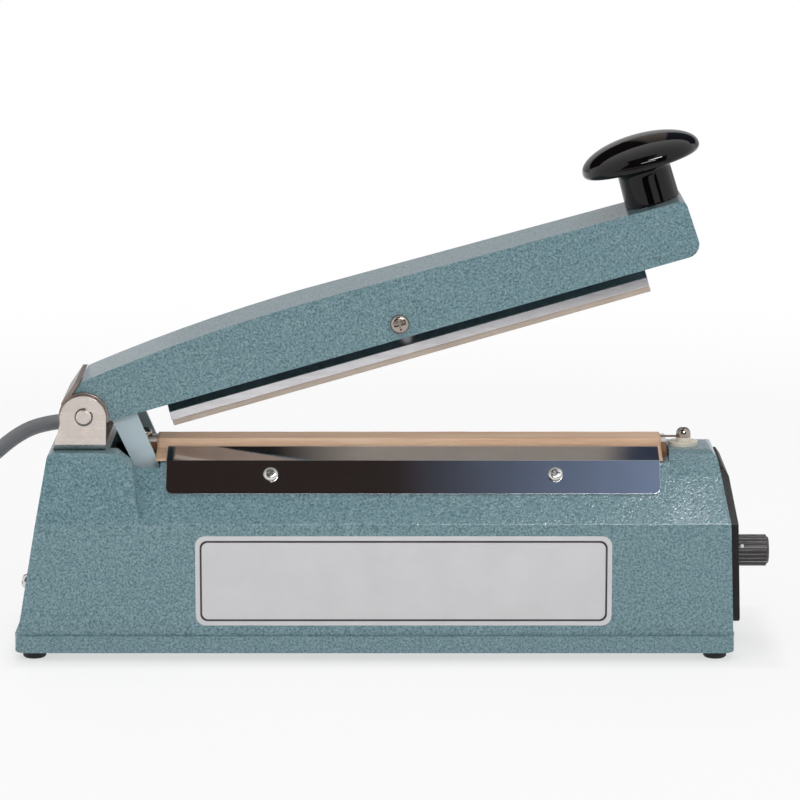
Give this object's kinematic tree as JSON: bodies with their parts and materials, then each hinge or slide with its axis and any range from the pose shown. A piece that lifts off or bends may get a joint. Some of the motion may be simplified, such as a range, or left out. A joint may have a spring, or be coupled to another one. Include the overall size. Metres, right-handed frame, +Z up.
{
  "type": "impulse sealer",
  "caption": "Hand impulse sealer: cast base with a heated platen under a cloth cover, and a sprung cast arm with a floating press bar, mushroom handle and end timer.",
  "frame": {"origin": "centre of the object's footprint, on the surface that the feet stand on, the cord left out", "axes": "+X along the base from the hinge end to the timer end, -Y out of the front that the operator faces, +Z up"},
  "size_m": [0.5366, 0.1287, 0.2167],
  "materials": {
    "hammertone": "cast aluminium with a blue-green hammered enamel",
    "steel_sheet": "zinc-plated sheet",
    "black_rubber": "matt moulded rubber",
    "bright_steel": "bright nickel-plated steel",
    "dark_steel": "blackened steel",
    "nickel": "satin nickel plate",
    "phenolic": "brown phenolic laminate",
    "white_insulation": "white insulating tape",
    "element_alloy": "heat-browned resistance ribbon",
    "ivory_plastic": "moulded insulator",
    "ptfe_cloth": "tan coated glass cloth, fine weave",
    "bright_chrome": "mirror-polished plate",
    "black_plastic": "fine-textured black moulding",
    "red_lens": "clear red moulding",
    "green_board": "circuit board",
    "blue_plastic": "sleeved capacitor",
    "core_iron": "varnished laminations",
    "copper_winding": "taped copper winding",
    "lever_paint": "pale blue-grey zinc-plated sheet",
    "black_gloss": "glossy black phenolic",
    "bar_aluminium": "bright extruded aluminium",
    "silicone": "beige silicone rubber",
    "grey_cord": "grey cord sheath",
    "grey_plug": "grey moulded plug",
    "brass_pin": "bright brass"
  },
  "bodies": {
    "base": {"base_housing": "hammertone", "bottom_plate": "steel_sheet", "rubber_feet": "black_rubber", "foot_screws": "bright_steel", "hinge_bracket": "nickel", "bracket_screws": "bright_steel", "hinge_pin": "nickel", "platen_bar": "phenolic", "platen_screws": "bright_steel", "insulating_strip": "white_insulation", "heating_element": "element_alloy", "terminal_insulator": "ivory_plastic", "terminal_screws": "bright_steel", "ptfe_cover": "ptfe_cloth", "clamp_plate_front": "bright_chrome", "clamp_plate_rear": "bright_chrome", "clamp_screws": "bright_steel", "end_panel": "black_plastic", "panel_screws": "dark_steel", "signal_lamp": "red_lens", "potentiometer": "steel_sheet", "potentiometer_nut": "bright_steel", "timer_board": "green_board", "board_capacitor": "blue_plastic", "board_relay": "black_plastic", "transformer_core": "core_iron", "transformer_winding": "copper_winding", "transformer_frame": "steel_sheet", "transformer_screws": "bright_steel", "switch_bracket": "steel_sheet", "end_screws": "bright_steel", "microswitch": "black_plastic", "return_spring": "bright_steel", "cord_bush": "black_rubber", "cord_lead": "grey_cord", "cord_coil": "grey_cord", "cord_tie": "black_plastic", "plug_body": "grey_plug", "plug_pins": "brass_pin"},
    "arm": {"arm_casting": "hammertone", "arm_hinge_leaf": "nickel", "leaf_rivets": "nickel", "lift_lever": "lever_paint", "lever_screws": "bright_steel", "handle_knob": "black_gloss", "knob_screw": "bright_steel", "cross_screw": "bright_steel", "cross_nut": "bright_steel", "cross_spacers": "bright_steel"},
    "bar": {"press_bar": "bar_aluminium", "silicone_strip": "silicone"},
    "timer": {"timer_knob": "black_plastic", "timer_shaft": "bright_steel"},
    "plunger": {"switch_plunger": "red_lens"}
  },
  "joints": [
    {"name": "arm_hinge", "type": "hinge", "parent": "base", "child": "arm", "pos_m": [-0.1287, 0, 0.1004], "axis": [0, 1, 0], "range_deg": [0, 13.9], "stiffness_Nm_per_rad": 2.5, "springref_deg": -22.92, "deforming": ["return_spring"]},
    {"name": "bar_float", "type": "hinge", "parent": "arm", "child": "bar", "pos_m": [0.002, 0, 0.13871], "axis": [0, 1, 0], "range_deg": [0, 2.12]},
    {"name": "timer_turn", "type": "hinge", "parent": "base", "child": "timer", "pos_m": [0.15, 0, 0.038], "axis": [1, 0, 0], "range_deg": [-135, 135]},
    {"name": "switch_press", "type": "slide", "parent": "base", "child": "plunger", "axis": [1, 0, 0], "range_m": [-0.00121, 0]}
  ],
  "couplings": [
    {"joint": "bar_float", "follows": "arm_hinge", "ratio": 0.1514},
    {"joint": "switch_press", "follows": "arm_hinge", "m_per_rad": -0.0049478}
  ]
}
